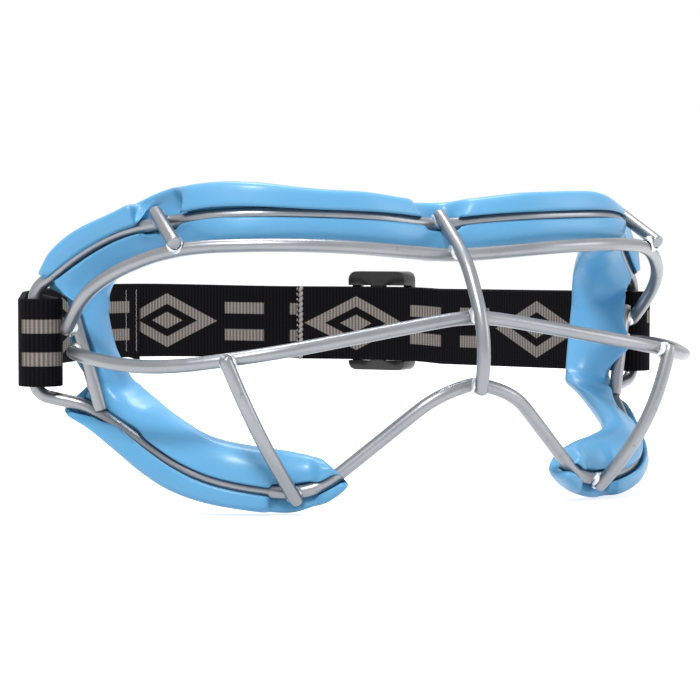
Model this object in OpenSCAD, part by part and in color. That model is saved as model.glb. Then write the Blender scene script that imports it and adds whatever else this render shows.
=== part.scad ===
// Wire-cage sports goggles: a welded cage of bent wire, a moulded face pad and an elastic strap.
// Millimetres. -Y is the front, +Y is toward the head and +Z is up.
// The origin lies midway between the temples at eye height. Corner lists are [out, back, up] from it,
// so one list serves the right half as it stands and the left half mirrored.

/* [Cage wire] */
// Diameter of the coated steel wire
wire_d = 3.6; // [3.2:0.1:4]
// How far two crossing wires melt into each other
weld_bite = 0.4; // [0.2:0.1:0.8]
// Radius of the weld bead round a crossing
bead_r = 2.4; // [2.2:0.1:2.8]
// Length of wire past its last crossing
wire_past = 2; // [1.6:0.2:3]

/* [Centre bar] */
// Top end of the bar: back, up
centre_top = [-13, 34.8]; // [-60:0.1:60]
// Bend under the brow: back, up
centre_knee = [-29, 22]; // [-60:0.5:60]
// Bend in front of the nose: back, up
centre_nose = [-40.5, 0]; // [-60:0.5:60]
// Bottom end of the bar: back, up
centre_foot = [-36, -12.5]; // [-60:0.5:60]
// Radius of the bar's two bends
centre_r = 28; // [15:1:32]

/* [Frame ring] */
// Height where the ring's brow crosses the centre bar
brow_up = 31.5; // [29:0.5:33]
// Brow bend beside the nose
brow_inner = [25, -17.5, 34]; // [-60:0.5:60]
// Brow bend over the eye: in from the strap bar, back, up
brow_outer = [35, -9, 34.5]; // [-20:0.5:60]
// Brow bend at the temple: in from the strap bar, back, up
brow_temple = [15, 28.5, 29.5]; // [-20:0.5:60]
// Radii of the brow's bends, from the middle outward
brow_r = [30, 50, 36, 42]; // [20:1:60]
// Half the distance between the strap bars
bar_out = 95; // [92:1:100]
// How far back the strap bars stand
bar_back = 40; // [37:1:44]
// Top corner of a strap bar, up from the origin
bar_top = 14; // [13.5:0.5:17]
// Bottom corner of a strap bar, down from the origin
bar_low = 14; // [13.5:0.5:17]
// Radius of the corners at a strap bar
bar_r = 6; // [4:0.5:7]
// Bend where the ring turns forward below the temple: in from the strap bar, back, up
cheek_temple = [12.5, 33, -17]; // [-40:0.5:60]
// Bend under the cheekbone: in from the strap bar, back, up
cheek_outer = [27, -10.5, -36]; // [-40:0.5:60]
// Bend at the foot of the nose arch
cheek_inner = [40.5, -20, -38.5]; // [-60:0.5:60]
// Bend at the shoulder of the nose arch
arch_side = [12, -33.5, -13]; // [-40:0.5:40]
// Height where the nose arch crosses the centre bar
arch_up = -10; // [-11:0.5:-8]
// Radii of the lower bends, from the top of the arch to the temple
cheek_r = [10, 22, 20, 36, 12]; // [6:1:40]

/* [Upper and middle wires] */
// Height where the upper wire crosses the centre bar
upper_up = 23.5; // [21:0.5:25]
// Upper wire's bend over the eye
upper_inner = [44, -24.5, 27]; // [-60:0.5:60]
// Upper wire's bend above the temple: in from the strap bar, back, up
upper_outer = [20, -2, 25.5]; // [-20:0.5:60]
// Upper wire's bend at the temple: in from the strap bar, back, up
upper_temple = [6, 16, 15.5]; // [-20:0.5:60]
// Radii of the upper wire's bends, from the middle outward
upper_r = [80, 62, 48, 32]; // [20:1:90]
// Height where the middle wire crosses the centre bar
mid_up = 7.5; // [6:0.5:10]
// Middle wire's bend below the eye
mid_inner = [61, -29, -2]; // [-80:0.5:80]
// Middle wire's bend at the cheekbone: in from the strap bar, back, up
mid_outer = [12, -9, -5.5]; // [-20:0.5:60]
// Middle wire's bend at the temple: in from the strap bar, back, up
mid_temple = [4, 15, -3]; // [-20:0.5:60]
// Radii of the middle wire's bends, from the middle outward
mid_r = [55, 52, 42, 38]; // [20:1:90]

/* [Struts and temple bars] */
// Where an upper strut crosses the ring, in from the strap bar
upper_strut_ring = 25; // [21:0.5:29]
// Where an upper strut crosses the upper wire, in from the strap bar
upper_strut_wire = 23.2; // [19:0.1:27]
// Distance out where the left lower strut crosses the middle wire
lower_strut_left_wire = 66; // [60:0.5:70]
// Distance out where the right lower strut crosses the middle wire
lower_strut_right_wire = 62.5; // [60:0.5:70]
// Distance out where a lower strut crosses the ring
lower_strut_ring = 45.5; // [43:0.5:50]
// How far a lower strut bows away from the face
strut_bow = 3; // [1:0.5:5]
// Top end of a temple bar: in from the strap bar, back, up
temple_bar_top = [8, 31.5, 8]; // [0:0.5:50]
// Where a temple bar's foot is welded to the ring, in from the strap bar
temple_bar_foot = 14.5; // [13.5:0.5:16]
// Height where the upper wire ends on a temple bar
temple_upper = 4.5; // [3:0.5:6]
// Height where the middle wire ends on a temple bar
temple_mid = -1.5; // [-3:0.5:0]
// Length of the upper and middle wires past the temple bars
temple_past = 1.2; // [0.8:0.1:1.6]

/* [Face pad] */
// Room between the pad's groove and the wire in it
pad_room = 0.3; // [0.2:0.05:0.5]
// How far the lips stand in front of the wire's middle
pad_front = 3; // [2.5:0.1:4]
// Opening between the lips in front of the wire
groove_gap = 2; // [1.8:0.1:3.6]
// Depth of the pad behind the wire's middle
pad_depth = 10.5; // [8:0.5:14]
// Width of the lip outside the wire at the brow
brow_lip = 7; // [6:0.5:9]
// Width of the lip outside the wire at the cheek
cheek_lip = 6; // [5:0.5:8]
// Inner edge of the pad above the nose: back, up
edge_middle = [-14, 22]; // [-60:0.5:60]
// Inner edge of the pad over the nose side of the eye
edge_brow_inner = [25, -17, 24.5]; // [-90:0.5:90]
// Inner edge of the pad over the eye: in from the strap bar, back, up
edge_brow_outer = [36, -8.5, 25]; // [-40:0.5:60]
// Inner edge of the pad beside the upper strut: in from the strap bar, back, up
edge_strut = [27, 13, 22.5]; // [-40:0.5:60]
// Inner edge of the pad at the end of the brow: in from the strap bar, back, up
edge_corner = [20.5, 28, 18.5]; // [-40:0.5:60]
// Inner edge of the pad where the band turns down: in from the strap bar, back, up
edge_turn = [19, 33, 13.5]; // [-40:0.5:60]
// Inner edge of the band beside the top of the temple bar: in from the strap bar, back, up
edge_band_top = [19, 34, 7]; // [-40:0.5:60]
// Inner edge of the band beside the wires' ends: in from the strap bar, back, up
edge_band_middle = [20.5, 33, -1]; // [-40:0.5:60]
// Inner edge of the band beside the foot of the temple bar: in from the strap bar, back, up
edge_band_low = [23.5, 29.5, -10]; // [-40:0.5:60]
// Inner edge of the pad at the start of the cheek: in from the strap bar, back, up
edge_cheek_top = [27, 23, -14.5]; // [-40:0.5:60]
// Inner edge of the pad on the upper cheek: in from the strap bar, back, up
edge_cheek = [28, 10, -18.5]; // [-40:0.5:60]
// Inner edge of the pad under the cheekbone: in from the strap bar, back, up
edge_cheek_outer = [32, -7, -24]; // [-40:0.5:60]
// Inner edge of the pad under the eye
edge_cheek_middle = [53, -15, -26.5]; // [-90:0.5:90]
// Inner edge of the pad beside the lower strut
edge_cheek_inner = [44.5, -19, -28]; // [-90:0.5:90]
// Inner edge of the pad at its nose end
edge_nose = [38, -22, -29.5]; // [-90:0.5:90]
// Half the length of the opening in the lip round the centre bar
centre_notch = 5; // [4:0.5:7]
// Half the length of the openings in the lip round the upper struts
upper_notch = 6; // [5:0.5:9]
// Half the length of the openings in the lip round the lower struts
lower_notch = 5.5; // [4:0.5:7]
// Where the pad ends on the rise of the nose arch, distance out
nose_end = 34.5; // [32:0.5:38]
// How far the pad follows the ring past a temple bar's foot
foot_past = 3.5; // [3:0.1:4]

/* [Strap] */
// Width of the elastic webbing
strap_w = 23.6; // [22:0.5:25]
// Thickness of the webbing
strap_t = 1.6; // [1.2:0.1:2]
// Inner radius of the webbing's turn round a strap bar
turn_r = 4.4; // [4:0.1:5]
// Direction of the strap bar from the middle of the webbing's turn, in degrees from straight back
turn_lie = 60; // [50:5:75]
// Room between a strap bar and the webbing outside it
bar_room = 1; // [0.6:0.05:1.4]
// Radius of the strap round the back of the head
back_r = 75; // [68:1:82]
// How far back the strap reaches
back_reach = 165; // [155:1:180]
// Room between the strap's outer run and its left tail
left_room = 0.4; // [0.3:0.1:1]
// Room between the strap's outer run and its right tail, where the slider's bar lies
right_room = 2.8; // [2.6:0.1:3.2]
// Where the left tail is cut off, in degrees round the back from its middle
left_tail_end = 12; // [5:1:30]
// Where the right tail is cut off, in degrees round the back from its middle
right_tail_end = 31; // [20:1:34]
// Width of the stitching that holds the left tail
tack_w = 4; // [3:0.5:6]
// Thickness of the overlock thread round the right tail's end
thread_t = 0.25; // [0.15:0.05:0.3]

/* [Slider] */
// Place of the slider, in degrees round the back from its middle
slider_at = 52.5; // [46:1:53]
// Length of the slider along the strap
slider_l = 21; // [18:0.5:24]
// Room above and below the webbing in the slider's slots
slot_play = 1.2; // [1:0.1:2]
// How far the slider sits above the strap's middle
slider_lift = 0.8; // [0:0.1:1]
// Width of the slider's rails and outer bars
rail_w = 3; // [2.4:0.2:4]
// Thickness of the slider's outer bars
rail_t = 2.2; // [1.8:0.1:2.4]
// Width of the slider's bar between the two layers of webbing
slider_bar_w = 5; // [3:0.5:6]
// Room between the slider's bars and the webbing
slider_room = 0.3; // [0.25:0.05:0.4]

/* [Hidden] */
$fn = 48;

wire_color = "silver";
weld_color = "gainsboro";
pad_color = "#63b0e8";
strap_color = "#1c1b1d";
thread_color = "#8f8d8b";
slider_color = "#101012";

wire_sides = 12;
bend_step = 9;
end_chamfer = wire_d * 0.15;
// Distance between the middles of two welded wires
seat = wire_d - weld_bite;
// A point inside the head, which every wire bends round
hub = [0, 60, 0];
tiny = 0.000001;

// Vectors and lists

function unit(v) = v / norm(v);
function flip(p) = [-p[0], p[1], p[2]];
// A point on the left side that is given in from the strap bar
function temple(p) = [p[0] - bar_out, p[1], p[2]];
function mix(a, b, t) = a + (b - a) * t;
function clamp(v, low = 0, high = 1) = min(high, max(low, v));
function across(v, axis) = unit(v - axis * (v * axis));
function last(list) = list[len(list) - 1];
function reverse(list) = [for (i = [len(list) - 1 : -1 : 0]) list[i]];
function doubled(half) = concat(reverse(half), [for (i = [1 : len(half) - 1]) half[i]]);
function both_sides(half) = concat(reverse(half), [for (i = [1 : len(half) - 1]) flip(half[i])]);
function spread(a, b, n) = [for (i = [1 : n]) a + (b - a) * i / n];

// Bent routes: corner points with a bend radius at each corner

function turn(a, b, c) = acos(clamp(unit(b - a) * unit(c - b), -1, 1));

function bend(a, b, c, r) =
  let (u = unit(b - a), angle = turn(a, b, c))
  r == 0 || angle < 0.5 ? [b] :
  let (inward = across(unit(c - b), u), from = b - u * r * tan(angle / 2), steps = ceil(angle / bend_step))
  [for (k = [0 : steps]) from + u * r * sin(angle * k / steps) + inward * r * (1 - cos(angle * k / steps))];

function route(corners, r) =
  [corners[0], for (i = [1 : len(corners) - 2]) each bend(corners[i - 1], corners[i], corners[i + 1], r[i]),
    last(corners)];

function heading(path, i, closed = false) =
  let (n = len(path))
  unit(path[closed ? (i + 1) % n : min(i + 1, n - 1)] - path[closed ? (i + n - 1) % n : max(i - 1, 0)]);

// The first place on a path where one coordinate passes a value: [point, heading, length so far]
function passing(path, axis, value, i = 0, run = 0) =
  let (a = path[i], b = path[i + 1], t = (value - a[axis]) / (b[axis] - a[axis] + tiny))
  (t >= 0 && t <= 1) || i + 2 >= len(path) ? [mix(a, b, t), unit(b - a), run + norm(b - a) * t]
  : passing(path, axis, value, i + 1, run + norm(b - a));

// The place a length along a path
function spot(path, run, i = 0) =
  let (l = norm(path[i + 1] - path[i]))
  run <= l || i + 2 >= len(path) ? mix(path[i], path[i + 1], run / l) : spot(path, run - l, i + 1);

// A corner point moved off, so that the bend's middle lies on the point wanted
function crown(wanted, next, r) =
  let (side = [0, next[1] - wanted[1], next[2] - wanted[2]], angle = 2 * atan2(norm(side), abs(next[0])))
  wanted - unit(side) * r * (1 / cos(angle / 2) - 1);

// Centre bar, which the four long wires seat behind

centre_corners = [for (p = [centre_top, centre_knee, centre_nose, centre_foot]) [0, p[0], p[1]]];
centre_route = route(centre_corners, [0, centre_r, centre_r, 0]);

function behind_bar(up) =
  let (at = passing(centre_route, 2, up), front = [0, at[1][2], -at[1][1]])
  at[0] - front * seat;

// Height on the bar that puts the wire behind it at the height wanted
function bar_height(wanted, guess, tries = 4) =
  tries == 0 ? guess : bar_height(wanted, guess + wanted - behind_bar(guess)[2], tries - 1);

function seat_point(up) = behind_bar(bar_height(up, up));

// The ring's lower half from the middle of the nose arch to the left strap bar

arch_middle = crown(seat_point(arch_up), flip(arch_side), cheek_r[0]);
left_bar_low = [-bar_out, bar_back, -bar_low];
left_bar_top = [-bar_out, bar_back, bar_top];
bar_middle = (left_bar_top + left_bar_low) / 2;
cheek_half = [arch_middle, flip(arch_side), flip(cheek_inner), temple(cheek_outer), temple(cheek_temple),
  left_bar_low];
cheek_bends = concat(cheek_r, [bar_r * 0.8]);
cheek_route = route(concat([flip(cheek_half[1])], cheek_half, [bar_middle]), concat([0], cheek_bends, [0]));

// The ring's upper half from the middle of the brow to the left strap bar

brow_middle = crown(seat_point(brow_up), flip(brow_inner), brow_r[0]);
brow_half = [brow_middle, flip(brow_inner), temple(brow_outer), temple(brow_temple), left_bar_top];
brow_bends = concat(brow_r, [bar_r]);
brow_route = route(concat([flip(brow_half[1])], brow_half, [bar_middle]), concat([0], brow_bends, [0]));

// The closed ring: left strap bar, brow, right strap bar, cheek, nose arch, cheek

ring_corners = concat([bar_middle], both_sides(brow_half), [flip(bar_middle)],
  [for (i = [len(cheek_half) - 1 : -1 : 1]) flip(cheek_half[i])], cheek_half, [bar_middle]);
ring_route = route(ring_corners, concat([0], doubled(brow_bends), [0], doubled(cheek_bends), [0]));

// Temple bars, straight, from above the upper wire's end down to the ring

temple_foot = passing(reverse(cheek_route), 0, temple_bar_foot - bar_out)[0];
temple_top = temple(temple_bar_top);
temple_dir = unit(temple_top - temple_foot);
function on_temple_bar(up) = temple_foot + temple_dir * (up - temple_foot[2]) / temple_dir[2];

// Where a wire that comes from one point crosses the temple bar's outer side
function temple_cross(from, up) =
  let (at = on_temple_bar(up), side = unit(cross(unit(at - from), temple_dir)))
  at + side * (side[0] < 0 ? seat : -seat);

// The upper and middle wires

upper_end = temple_cross(temple(upper_temple), temple_upper);
upper_half = [crown(seat_point(upper_up), flip(upper_inner), upper_r[0]), flip(upper_inner),
  temple(upper_outer), temple(upper_temple), upper_end + unit(upper_end - temple(upper_temple)) * temple_past];
upper_route = route(both_sides(upper_half), doubled(concat(upper_r, [0])));

mid_end = temple_cross(temple(mid_temple), temple_mid);
mid_half = [crown(seat_point(mid_up), flip(mid_inner), mid_r[0]), flip(mid_inner), temple(mid_outer),
  temple(mid_temple), mid_end + unit(mid_end - temple(mid_temple)) * temple_past];
mid_route = route(both_sides(mid_half), doubled(concat(mid_r, [0])));

// Struts lie outside the two wires that they tie. A tie is [top, its wire's heading, foot, its wire's heading].

function outward(at, way) =
  let (n = unit(cross(at[1], way)))
  n * (at[0] - hub) > 0 ? n : -n;

function tie(a, b) =
  let (way = unit(b[0] - a[0]))
  [a[0] + outward(a, way) * seat, a[1], b[0] + outward(b, way) * seat, b[1]];

upper_tie = tie(passing(brow_route, 0, upper_strut_ring - bar_out),
  passing(upper_route, 0, upper_strut_wire - bar_out));
function lower_tie(out) = tie(passing(mid_route, 0, -out), passing(cheek_route, 0, -lower_strut_ring));

// Round tubes swept along a route

function ring_points(at, way, r) =
  let (out = across(at - hub, way), side = cross(way, out))
  [for (k = [0 : wire_sides - 1]) let (a = 360 * k / wire_sides) at + (out * cos(a) + side * sin(a)) * r];

function skin(rows, sides, closed = false) =
  let (n = rows * sides)
  [for (i = [0 : rows - (closed ? 1 : 2)], k = [0 : sides - 1])
    let (a = i * sides + k, b = i * sides + (k + 1) % sides)
    each [[a, (a + sides) % n, b], [b, (a + sides) % n, (b + sides) % n]]];

function caps(rows, sides) =
  [[for (k = [0 : sides - 1]) k], [for (k = [sides - 1 : -1 : 0]) (rows - 1) * sides + k]];

module tube(path, closed = false) {
  n = len(path);
  first = heading(path, 0);
  final = heading(path, n - 1);
  slim = wire_d / 2 - end_chamfer;
  rings = closed
    ? [for (i = [0 : n - 1]) ring_points(path[i], heading(path, i, true), wire_d / 2)]
    : concat([ring_points(path[0], first, slim), ring_points(path[0] + first * end_chamfer, first, wire_d / 2)],
        [for (i = [1 : n - 2]) ring_points(path[i], heading(path, i), wire_d / 2)],
        [ring_points(path[n - 1] - final * end_chamfer, final, wire_d / 2),
          ring_points(path[n - 1], final, slim)]);
  rows = len(rings);
  faces = closed ? skin(rows, wire_sides, true) : concat(skin(rows, wire_sides), caps(rows, wire_sides));
  polyhedron([for (s = rings) each s], faces, convexity = 8);
}

module aim(at, way) {
  translate(at) rotate([0, acos(way[2]), atan2(way[1], way[0])]) children();
}

module rod(a, b) {
  l = norm(b - a);
  slim = wire_d - 2 * end_chamfer;
  aim(a, unit(b - a)) {
    cylinder(h = end_chamfer, d1 = slim, d2 = wire_d);
    translate([0, 0, end_chamfer]) cylinder(h = l - 2 * end_chamfer, d = wire_d);
    translate([0, 0, l - end_chamfer]) cylinder(h = end_chamfer, d1 = wire_d, d2 = slim);
  }
}

// A weld's bead: a ball at the crossing, less the two wires that it joins
module bead(outer, outer_way, inner_way) {
  n = unit(cross(outer_way, inner_way));
  out = n * (outer - hub) > 0 ? n : -n;
  color(weld_color) difference() {
    translate(outer - out * seat / 2) sphere(r = bead_r);
    aim(outer - outer_way * 2 * bead_r, outer_way) cylinder(h = 4 * bead_r, d = wire_d);
    aim(outer - out * seat - inner_way * 2 * bead_r, inner_way) cylinder(h = 4 * bead_r, d = wire_d);
  }
}

module ring_wire() {
  color(wire_color) tube([for (i = [0 : len(ring_route) - 2]) ring_route[i]], closed = true);
}

module upper_wire() {
  color(wire_color) tube(upper_route);
}

module middle_wire() {
  color(wire_color) tube(mid_route);
}

module centre_bar() {
  color(wire_color) tube(centre_route);
}

module upper_strut() {
  way = unit(upper_tie[2] - upper_tie[0]);
  color(wire_color) rod(upper_tie[0] - way * wire_past, upper_tie[2] + way * wire_past);
}

module lower_strut(out) {
  ends = lower_tie(out);
  half = norm(ends[2] - ends[0]) / 2;
  middle = (ends[0] + ends[2]) / 2;
  knee = middle + across(middle - hub, unit(ends[2] - ends[0])) * 2 * strut_bow;
  corners = [ends[0] - unit(knee - ends[0]) * wire_past, knee, ends[2] + unit(ends[2] - knee) * wire_past];
  color(wire_color) tube(route(corners, [0, 0.9 * half * half / (2 * strut_bow), 0]));
}

module temple_bar() {
  color(wire_color) rod(temple_foot + temple_dir * (wire_d / 2 - weld_bite), temple_top);
}

module centre_bar_welds() {
  for (up = [brow_up, upper_up, mid_up, arch_up]) {
    at = passing(centre_route, 2, bar_height(up, up));
    bead(at[0], at[1], [1, 0, 0]);
  }
}

module upper_strut_welds() {
  way = unit(upper_tie[2] - upper_tie[0]);
  bead(upper_tie[0], way, upper_tie[1]);
  bead(upper_tie[2], way, upper_tie[3]);
}

module lower_strut_welds(out) {
  ends = lower_tie(out);
  way = unit(ends[2] - ends[0]);
  bead(ends[0], way, ends[1]);
  bead(ends[2], way, ends[3]);
}

module temple_welds() {
  bead(upper_end, unit(upper_end - temple(upper_temple)), temple_dir);
  bead(mid_end, unit(mid_end - temple(mid_temple)), temple_dir);
}

// Face pad. One half of a sweep is a list of stations, each a closed section from the wire to the inner edge.

groove_r = wire_d / 2 + pad_room;
// Levels behind the wire's middle: under a strut's end, beside the temple bar, and behind a lower strut
brow_floor = wire_d + pad_room;
band_floor = bead_r + pad_room + 1.5;
cheek_floor = bead_r - seat / 2 + pad_room;
cheek_notch_front = seat - wire_d / 2 - pad_room;
lip_step = 1.2;
// How far in front of the groove's wall a lip has to stand before it closes in
lip_ease = 0.6;
// Extra room round the temple bar, which crosses the sections at a slant
bar_ease = 0.25;
// Width of the band outside the temple bar
band_lip = 1.9;
// How far the flange stands in front of the wire's middle behind the temple bar's foot
foot_front = 1;
// Distance out where the pad leaves the ring
pad_foot = bar_out - temple_bar_foot + foot_past;
// Where the section changes between the upper strut and the band, in from the strap bar
pad_places = [22, 14, 7, 3.4];
// Heights where the section changes down the band
band_levels = [15, 13, 4, -5, -8, -12];
// Where the section changes along the cheek, in from the pad's foot
cheek_places = [18, 9, 6, 3];
// How far the pad runs above the top of the temple bar, in line with it
pad_bar_past = 4;
// Height where the pad leaves the temple bar
pad_bar_low = -9;
// Every section's back looks toward this point behind the head
pad_hub = [0, 200, 0];

// lip: reach outside the wire, floor: its front, wide: to the inner edge, front: of the flange,
// deep: behind the wire, back: 1 where the lip is set back, shut: 1 where the lips close in over the wire
function pad_section(lip, floor, wide, front, deep, back, shut) =
  let (from = [for (k = [0 : 5]) 0.1 * k - lip], r = groove_r + bar_ease * back,
    lip_in = shut * clamp((-floor - r) / lip_ease), flange_in = shut * clamp((front - r) / lip_ease))
  [[from[0], floor + 1.4], [max(from[1], min(1.3 - lip, -r - 0.5)), floor],
    [max(from[2], mix(-r - 0.2, -groove_gap / 2, lip_in)), floor],
    [max(from[3], mix(-r, 0.6, back)), max(floor, -0.4 * r * lip_in)],
    [max(from[4], mix(-r * 0.7, 0.8, back)), max(floor, r * 0.7)], [max(from[5], back), r],
    [max(from[5] - tiny, r * 0.7), r * 0.7], [r, max(-0.4 * r * flange_in, -front)],
    [mix(r + 0.3, groove_gap / 2, flange_in), 0.3 - front],
    [mix(r, wide, 0.2), -front], [mix(r, wide, 0.5), 0.4 - front], [mix(r, wide, 0.85), 2.2 - front],
    [wide, 4.6 - front], [wide - 0.5, 0.6 * deep], [wide * 0.75, 0.94 * deep], [wide * 0.4, deep],
    [mix(-lip, wide, 0.12), deep - 0.6], [-lip, deep * 0.65]];

// A key is [length along the path, inner edge point, lip, floor, front, deep]
function key_index(keys, run, i = 0) =
  i + 2 >= len(keys) || run <= keys[i + 1][0] ? i : key_index(keys, run, i + 1);

function smooth(a, b, c, d, t) =
  b + (c - a) * t / 2 + (2 * a - 5 * b + 4 * c - d) * t * t / 2 + (3 * b - a - 3 * c + d) * t * t * t / 2;

// 0 inside a notch, 1 away from it
function open(run, notches) = min([for (k = notches) clamp((abs(run - k[0]) - k[1]) / lip_step)]);
function floor_at(floor, notch_floor, away) = mix(max(notch_floor, floor), floor, away);
function front_at(front, notch_front, away) = min(front, mix(notch_front, front, away));

// 1 where the front outside the wire lies behind it, 0 where it reaches forward as a lip
function set_back(floor) = clamp((floor - groove_r) / (band_floor - groove_r));

// Points 2 to 8 follow the wire squarely, so that the groove keeps its width. Round the temple's turn,
// where there is no wire, they follow the flange.
function pad_station(path, keys, run, notch_floor, notch_front, notches, wired) =
  let (i = key_index(keys, run), n = len(keys), t = clamp((run - keys[i][0]) / (keys[i + 1][0] - keys[i][0])),
    size = [for (k = [2 : 5]) mix(keys[i][k], keys[i + 1][k], t)],
    edge = smooth(keys[max(i - 1, 0)][1], keys[i][1], keys[i + 1][1], keys[min(i + 2, n - 1)][1], t),
    at = spot(path, run), f = unit(edge - at), b = unit(pad_hub - at), away = open(run, notches),
    floor = floor_at(size[1], notch_floor, away), back = set_back(size[1]), loose = wired ? 0 : back,
    way = unit(spot(path, run + 0.5) - spot(path, max(run - 0.5, 0))),
    groove_f = unit(mix(across(f, way), f, loose)),
    groove_b = unit(mix(across(across(b, way), groove_f), across(b, f), loose)),
    section = pad_section(size[0], floor, norm(edge - at), front_at(size[2], notch_front, away), size[3], back,
      away * (1 - back)),
    square_b = across(b, f))
  [for (k = [0 : len(section) - 1])
    let (q = section[k])
    k > 1 && k < 9 ? at + groove_f * q[0] + groove_b * q[1] : at + f * q[0] + (q[1] > 0 ? b : square_b) * q[1]];

module pad_run(stations) {
  rows = len(stations);
  sides = len(stations[0]);
  polyhedron([for (s = stations) each s], concat(skin(rows, sides), caps(rows, sides)), convexity = 10);
}

// Upper stations follow the ring over the brow, then the temple bar down to the cheek
upper_pad_path = route(concat([flip(brow_half[1])], [for (i = [0 : 2]) brow_half[i]],
  [temple(brow_temple), mix(temple(brow_temple), left_bar_top, 0.92), on_temple_bar(temple_bar_top[2] + pad_bar_past),
    on_temple_bar(pad_bar_low), passing(reverse(cheek_route), 0, -pad_foot)[0]]),
  concat([0], brow_r, [2.5, 3, 3, 0]));
upper_start = passing(upper_pad_path, 0, 0)[2];
function upper_run(axis, value) = passing(upper_pad_path, axis, value)[2];
upper_keys = [
  [upper_start, [0, edge_middle[0], edge_middle[1]], brow_lip, -pad_front, pad_front, pad_depth],
  [upper_run(0, -brow_inner[0]), flip(edge_brow_inner), brow_lip, -pad_front, pad_front, pad_depth],
  [upper_run(0, brow_outer[0] - bar_out), temple(edge_brow_outer), brow_lip, -pad_front, pad_front, pad_depth],
  [upper_run(0, pad_places[0] - bar_out), temple(edge_strut), brow_lip, -pad_front, pad_front, pad_depth],
  [upper_run(0, pad_places[1] - bar_out), temple(edge_corner), brow_lip - 1, -pad_front, pad_front, pad_depth],
  [upper_run(0, pad_places[2] - bar_out), temple(edge_turn), brow_lip - 1, -pad_front, pad_front, pad_depth],
  [upper_run(0, pad_places[3] - bar_out), mix(temple(edge_turn), temple(edge_band_top), 0.4), brow_lip - 3, -pad_front,
    pad_front, pad_depth],
  [upper_run(2, band_levels[0]), mix(temple(edge_turn), temple(edge_band_top), 0.7), -lip_step / 4, band_floor,
    pad_front, pad_depth],
  [upper_run(2, band_levels[1]), temple(edge_band_top), -2 * lip_step, band_floor, pad_front, pad_depth],
  [upper_run(2, band_levels[2]), temple(edge_band_middle), band_lip, band_floor, pad_front, pad_depth],
  [upper_run(2, band_levels[3]), mix(temple(edge_band_middle), temple(edge_band_low), 0.45), band_lip,
    band_floor, pad_front, pad_depth],
  [upper_run(2, band_levels[4]), temple(edge_band_low), band_lip / 2, band_floor, 0, pad_depth],
  [upper_run(2, band_levels[5]), mix(temple(edge_band_low), temple(edge_cheek_top), 0.4), -band_lip / 4,
    band_floor, -1.5 * foot_front, pad_depth]];
upper_strut_run = upper_run(0, upper_strut_ring - bar_out);
upper_turn_run = upper_run(0, pad_places[2] - bar_out);
lip_end_run = upper_run(0, pad_places[3] - bar_out);
band_start_run = upper_run(2, band_levels[0]);
band_top_run = upper_run(2, band_levels[1]);
upper_notches = [[upper_start, centre_notch], [upper_strut_run, upper_notch]];
upper_stations = concat(
  [upper_start, upper_start + centre_notch, upper_start + centre_notch + lip_step],
  spread(upper_start + centre_notch + lip_step, upper_strut_run - upper_notch - lip_step, 14),
  around(upper_strut_run, upper_notch),
  spread(upper_strut_run + upper_notch + lip_step, upper_turn_run, 6),
  spread(upper_turn_run, lip_end_run, 2), spread(lip_end_run, band_start_run, 2),
  spread(band_start_run, band_top_run, 2), spread(band_top_run, last(upper_keys)[0], 9));

// Stations at a notch's edges and middle, and where the lip is whole again
function around(run, notch) = [run - notch, run, run + notch, run + notch + lip_step];

// Lower stations run from the rise of the nose arch round the cheek to the foot of the temple bar
function cheek_run(out) = passing(cheek_route, 0, -out)[2];
cheek_keys = [
  [cheek_run(nose_end), flip(edge_nose), cheek_lip - 1.5, -pad_front, pad_front, pad_depth - 3],
  [cheek_run(edge_cheek_inner[0] + 0.5), flip(edge_cheek_inner), cheek_lip, -pad_front, pad_front, pad_depth],
  [cheek_run(edge_cheek_middle[0] + 2), flip(edge_cheek_middle), cheek_lip, -pad_front, pad_front, pad_depth],
  [cheek_run(pad_foot - cheek_places[0]), temple(edge_cheek_outer), cheek_lip, -pad_front, pad_front,
    pad_depth],
  [cheek_run(pad_foot - cheek_places[1]), temple(edge_cheek), cheek_lip, -pad_front, pad_front, pad_depth],
  [cheek_run(pad_foot - cheek_places[2]), mix(temple(edge_cheek), temple(edge_cheek_top), 0.6), cheek_lip,
    -pad_front, foot_front, pad_depth],
  [cheek_run(pad_foot - cheek_places[3]), temple(edge_cheek_top), cheek_lip, -foot_front, foot_front,
    pad_depth],
  [cheek_run(pad_foot), mix(temple(edge_cheek_top), temple(edge_band_low), 0.3), cheek_lip, groove_r + lip_step,
    foot_front, pad_depth]];
cheek_top_run = cheek_run(pad_foot - cheek_places[1]);
lower_strut_run = cheek_run(lower_strut_ring);
cheek_notches = [[lower_strut_run, lower_notch]];
cheek_stations = concat([cheek_run(nose_end)],
  spread(cheek_run(nose_end), lower_strut_run - lower_notch - lip_step, 2),
  around(lower_strut_run, lower_notch),
  spread(lower_strut_run + lower_notch + lip_step, cheek_top_run, 10),
  spread(cheek_top_run, last(cheek_keys)[0], 9));

pad_half = concat(
  [for (s = upper_stations)
    pad_station(upper_pad_path, upper_keys, s, brow_floor, pad_front, upper_notches, false)],
  reverse([for (s = cheek_stations) pad_station(cheek_route, cheek_keys, s, cheek_floor, cheek_notch_front,
    cheek_notches, true)]));

module face_pad() {
  mirrored = [for (i = [1 : len(pad_half) - 1]) [for (p = pad_half[i]) flip(p)]];
  color(pad_color) pad_run(concat(reverse(pad_half), mirrored));
}

// Strap, drawn from above and raised to the webbing's width. A place is [point, direction to one face].

back_middle = [0, back_reach - back_r];
turn_mid_r = turn_r + strap_t / 2;
turn_centre = [bar_out, bar_back] - clock(turn_lie) * (turn_r - wire_d / 2 - bar_room);
arc_step = 4;

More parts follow.
